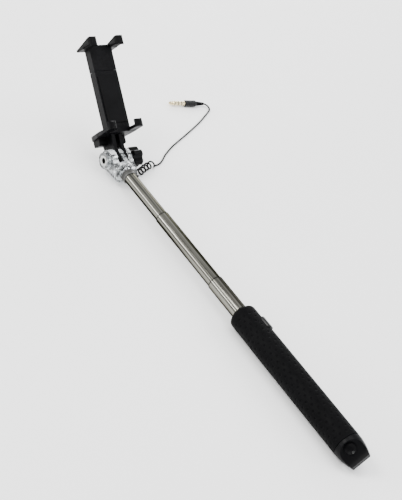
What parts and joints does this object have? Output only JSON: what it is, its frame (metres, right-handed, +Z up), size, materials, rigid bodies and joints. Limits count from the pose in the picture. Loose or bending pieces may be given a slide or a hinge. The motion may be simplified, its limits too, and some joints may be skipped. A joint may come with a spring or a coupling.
{
  "type": "telescopic selfie stick",
  "caption": "Telescopic selfie stick with a dimpled grip, shutter button, sprung phone clamp on a clear hinged yoke, lobed knob and curly jack lead.",
  "frame": {"origin": "on the pole's axis at the middle of the grip", "axes": "+Y along the pole towards the phone, +X towards the clamping knob, +Z up when the stick lies on its back"},
  "size_m": [0.1418, 0.3577, 0.0804],
  "materials": {
    "grip_rubber": "matt black rubber",
    "core_plastic": "moulded dark plastic",
    "pole_steel": "bright polished tube",
    "black_plastic": "satin black plastic",
    "button_plastic": "satin black plastic",
    "switch_plastic": "black",
    "board": "green lacquer",
    "ribbon": "amber film",
    "lead_skin": "glossy black skin",
    "shoe_plastic": "natural acetal",
    "collar_grey": "grey",
    "clear_plastic": "clear moulded plastic",
    "bolt_steel": "nickel plated",
    "black_rubber": "soft black",
    "plug_plastic": "glossy black",
    "jack_metal": "plated",
    "ring_plastic": "black",
    "insert_brass": "turned brass",
    "spring_steel": "bright wire"
  },
  "bodies": {
    "handle": {"grip_sleeve": "grip_rubber", "handle_core": "core_plastic", "outer_tube": "pole_steel", "end_cap": "black_plastic", "lead_anchor": "core_plastic", "tact_switch": "switch_plastic", "switch_board": "board", "switch_ribbon": "ribbon", "lead_in_handle": "lead_skin"},
    "shutter": {"shutter_button": "button_plastic", "switch_plunger": "core_plastic"},
    "section_c": {"tube_c": "pole_steel", "slide_shoe_c": "shoe_plastic", "lead_in_tube_c": "lead_skin"},
    "section_b": {"tube_b": "pole_steel", "slide_shoe_b": "shoe_plastic", "lead_in_tube_b": "lead_skin"},
    "section_a_slider": {"slide_shoe_a": "shoe_plastic"},
    "section_a": {"tube_a": "pole_steel", "lead_in_tube_a": "lead_skin", "tube_collar": "collar_grey", "yoke": "clear_plastic", "yoke_set_screw": "bolt_steel", "lead_grommet": "black_rubber", "hinge_screw": "bolt_steel", "hinge_washer": "bolt_steel", "cord_tail": "lead_skin", "cord_coil": "lead_skin", "cord_lead": "lead_skin", "plug_relief": "black_rubber", "plug_body": "plug_plastic", "plug_jack": "jack_metal", "plug_rings": "ring_plastic"},
    "knob_body": {"knob": "black_plastic", "knob_insert": "insert_brass"},
    "clamp": {"clamp_body": "black_plastic", "clamp_rear_cover": "black_plastic", "cover_screws": "bolt_steel", "lower_jaw_pads": "black_rubber", "phone_rest_pad": "black_rubber", "jaw_springs": "spring_steel"},
    "upper_jaw_body": {"upper_jaw": "black_plastic", "upper_jaw_pads": "black_rubber", "jaw_rods": "bolt_steel", "rod_clips": "bolt_steel"}
  },
  "joints": [
    {"name": "section_c_slide", "type": "slide", "parent": "handle", "child": "section_c", "axis": [0, 1, 0], "range_m": [-0.025, 0.067], "deforming": ["lead_in_handle"]},
    {"name": "section_b_slide", "type": "slide", "parent": "section_c", "child": "section_b", "axis": [0, 1, 0], "range_m": [-0.065, 0.0185], "deforming": ["lead_in_tube_c"]},
    {"name": "section_a_slide", "type": "slide", "parent": "section_b", "child": "section_a_slider", "axis": [0, 1, 0], "range_m": [-0.0405, 0.032], "deforming": ["lead_in_tube_b"]},
    {"name": "head_twist", "type": "hinge", "parent": "section_a_slider", "child": "section_a", "pos_m": [0, 0.119, 0], "axis": [0, 1, 0], "range_deg": [-180, 180]},
    {"name": "clamp_tilt", "type": "hinge", "parent": "section_a", "child": "clamp", "pos_m": [0, 0.217, 0.0024], "axis": [1, 0, 0], "range_deg": [-120, 60]},
    {"name": "knob_turn", "type": "hinge", "parent": "section_a", "child": "knob_body", "pos_m": [0.012, 0.217, 0.0024], "axis": [1, 0, 0], "continuous": true},
    {"name": "jaw_slide", "type": "slide", "parent": "clamp", "child": "upper_jaw_body", "axis": [0, 0.7853, 0.6191], "range_m": [0, 0.025], "stiffness_N_per_m": 300, "springref_m": -0.03, "deforming": ["jaw_springs"]},
    {"name": "shutter_press", "type": "slide", "parent": "handle", "child": "shutter", "axis": [-0.6428, 0, -0.766], "range_m": [0, 0.0005], "stiffness_N_per_m": 2000, "springref_m": -0.0002}
  ]
}
